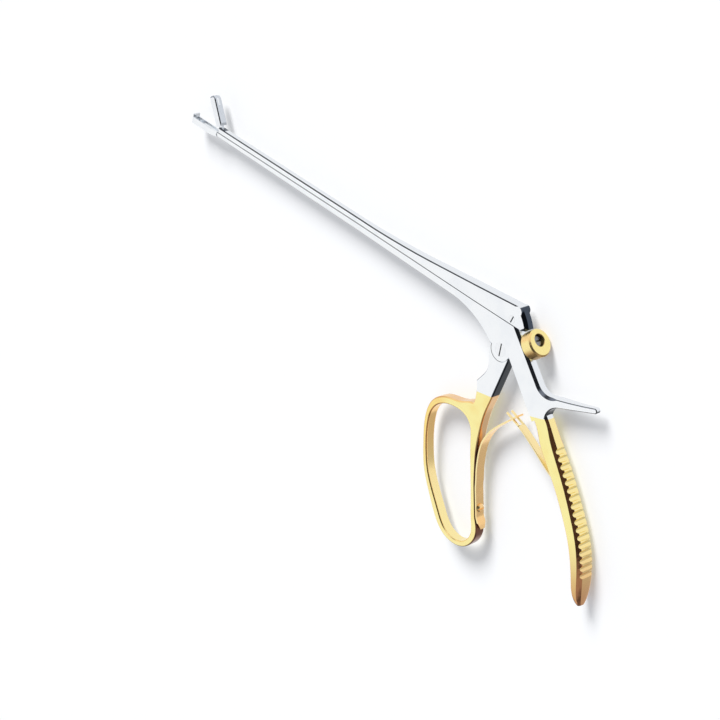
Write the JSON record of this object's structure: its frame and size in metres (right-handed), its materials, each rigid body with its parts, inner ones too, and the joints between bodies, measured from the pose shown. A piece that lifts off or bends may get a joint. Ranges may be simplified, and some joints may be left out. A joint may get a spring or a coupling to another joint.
{
  "type": "cervical biopsy punch",
  "caption": "Sliding-bar biopsy punch with a slender shaft, a swinging cup jaw over a toothed basket jaw, a finger-loop lever, a ribbed rear grip and crossed leaf springs.",
  "frame": {"origin": "on the lever's pivot axis, in the plane of the lower side face", "axes": "+X from the jaws to the grip along the shaft, +Y from the lever towards the slide, +Z out of the upper side face, which carries the screw heads"},
  "size_m": [0.3079, 0.1387, 0.0128],
  "materials": {
    "frame_metal": "polished steel, gold plated below the waist",
    "lever_metal": "polished steel, gold plated from the shoulder down",
    "polished_steel": "polished",
    "jaw_steel": "satin",
    "key_steel": "ground",
    "pin_steel": "ground",
    "screw_steel": "turned",
    "gold_plate": "polished gold plate",
    "gold_spring": "satin gold plate",
    "gold_screw": "turned gold plate"
  },
  "bodies": {
    "frame": {"frame": "frame_metal", "guide_key_front": "key_steel", "guide_key_rear": "key_steel", "jaw_pivot_pin": "pin_steel", "pivot_screw": "screw_steel", "stop_collar": "gold_plate", "collar_screw": "screw_steel", "rear_spring_screw": "gold_screw"},
    "slide": {"slide_bar": "polished_steel", "drive_screw": "screw_steel", "jaw_link_pin": "pin_steel"},
    "front_lever": {"front_handle": "lever_metal", "front_leaf_spring": "gold_spring", "front_spring_screw": "gold_screw"},
    "upper_jaw": {"upper_jaw": "jaw_steel"},
    "rear_leaf": {"rear_leaf_spring": "gold_spring"}
  },
  "joints": [
    {"name": "lever_squeeze", "type": "hinge", "parent": "frame", "child": "front_lever", "pos_m": [0, 0, 0.0029], "axis": [0, 0, 1], "range_deg": [0, 9.8], "stiffness_Nm_per_rad": 2, "springref_deg": -9.74},
    {"name": "slide_travel", "type": "slide", "parent": "frame", "child": "slide", "axis": [-1, 0, 0], "range_m": [0, 0.003]},
    {"name": "jaw_close", "type": "hinge", "parent": "frame", "child": "upper_jaw", "pos_m": [-0.21, 0.013, 0.0029], "axis": [0, 0, 1], "range_deg": [0, 60]},
    {"name": "rear_leaf_flex", "type": "hinge", "parent": "frame", "child": "rear_leaf", "pos_m": [0.0436, -0.0412, 0.0029], "axis": [0, 0, 1], "range_deg": [-10.8, 0], "deforming": ["rear_leaf_spring"]}
  ],
  "couplings": [
    {"joint": "slide_travel", "follows": "lever_squeeze", "m_per_rad": 0.0168},
    {"joint": "jaw_close", "follows": "lever_squeeze", "ratio": 5.816},
    {"joint": "rear_leaf_flex", "follows": "lever_squeeze", "ratio": -1.02}
  ]
}
